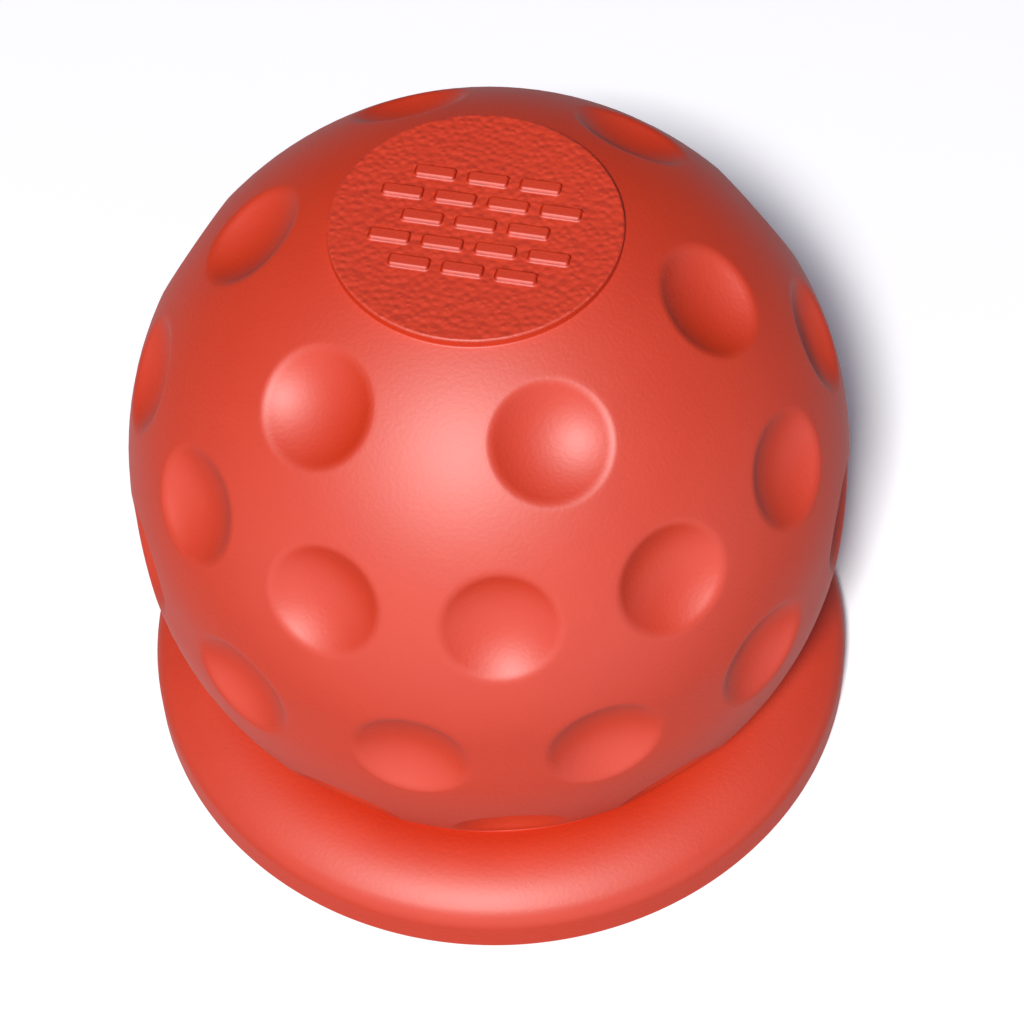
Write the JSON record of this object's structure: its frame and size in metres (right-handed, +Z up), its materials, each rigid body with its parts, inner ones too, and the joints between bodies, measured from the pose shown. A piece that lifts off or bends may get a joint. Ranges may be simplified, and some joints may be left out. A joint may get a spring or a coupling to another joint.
{
  "type": "tow ball cover",
  "caption": "Soft moulded cover for a tow ball: a dimpled ball-shaped body on a crowned collar, with a flat round button on top and a round socket that opens through the base.",
  "frame": {"origin": "centre of the base face, on the underside of the collar", "axes": "+Z up along the cover's axis towards the button, -Y the front that the picture shows"},
  "size_m": [0.082, 0.082, 0.0783],
  "materials": {
    "cover_rubber": "satin moulded rubber"
  },
  "bodies": {
    "root": {"ball_cover": "cover_rubber"}
  },
  "joints": []
}
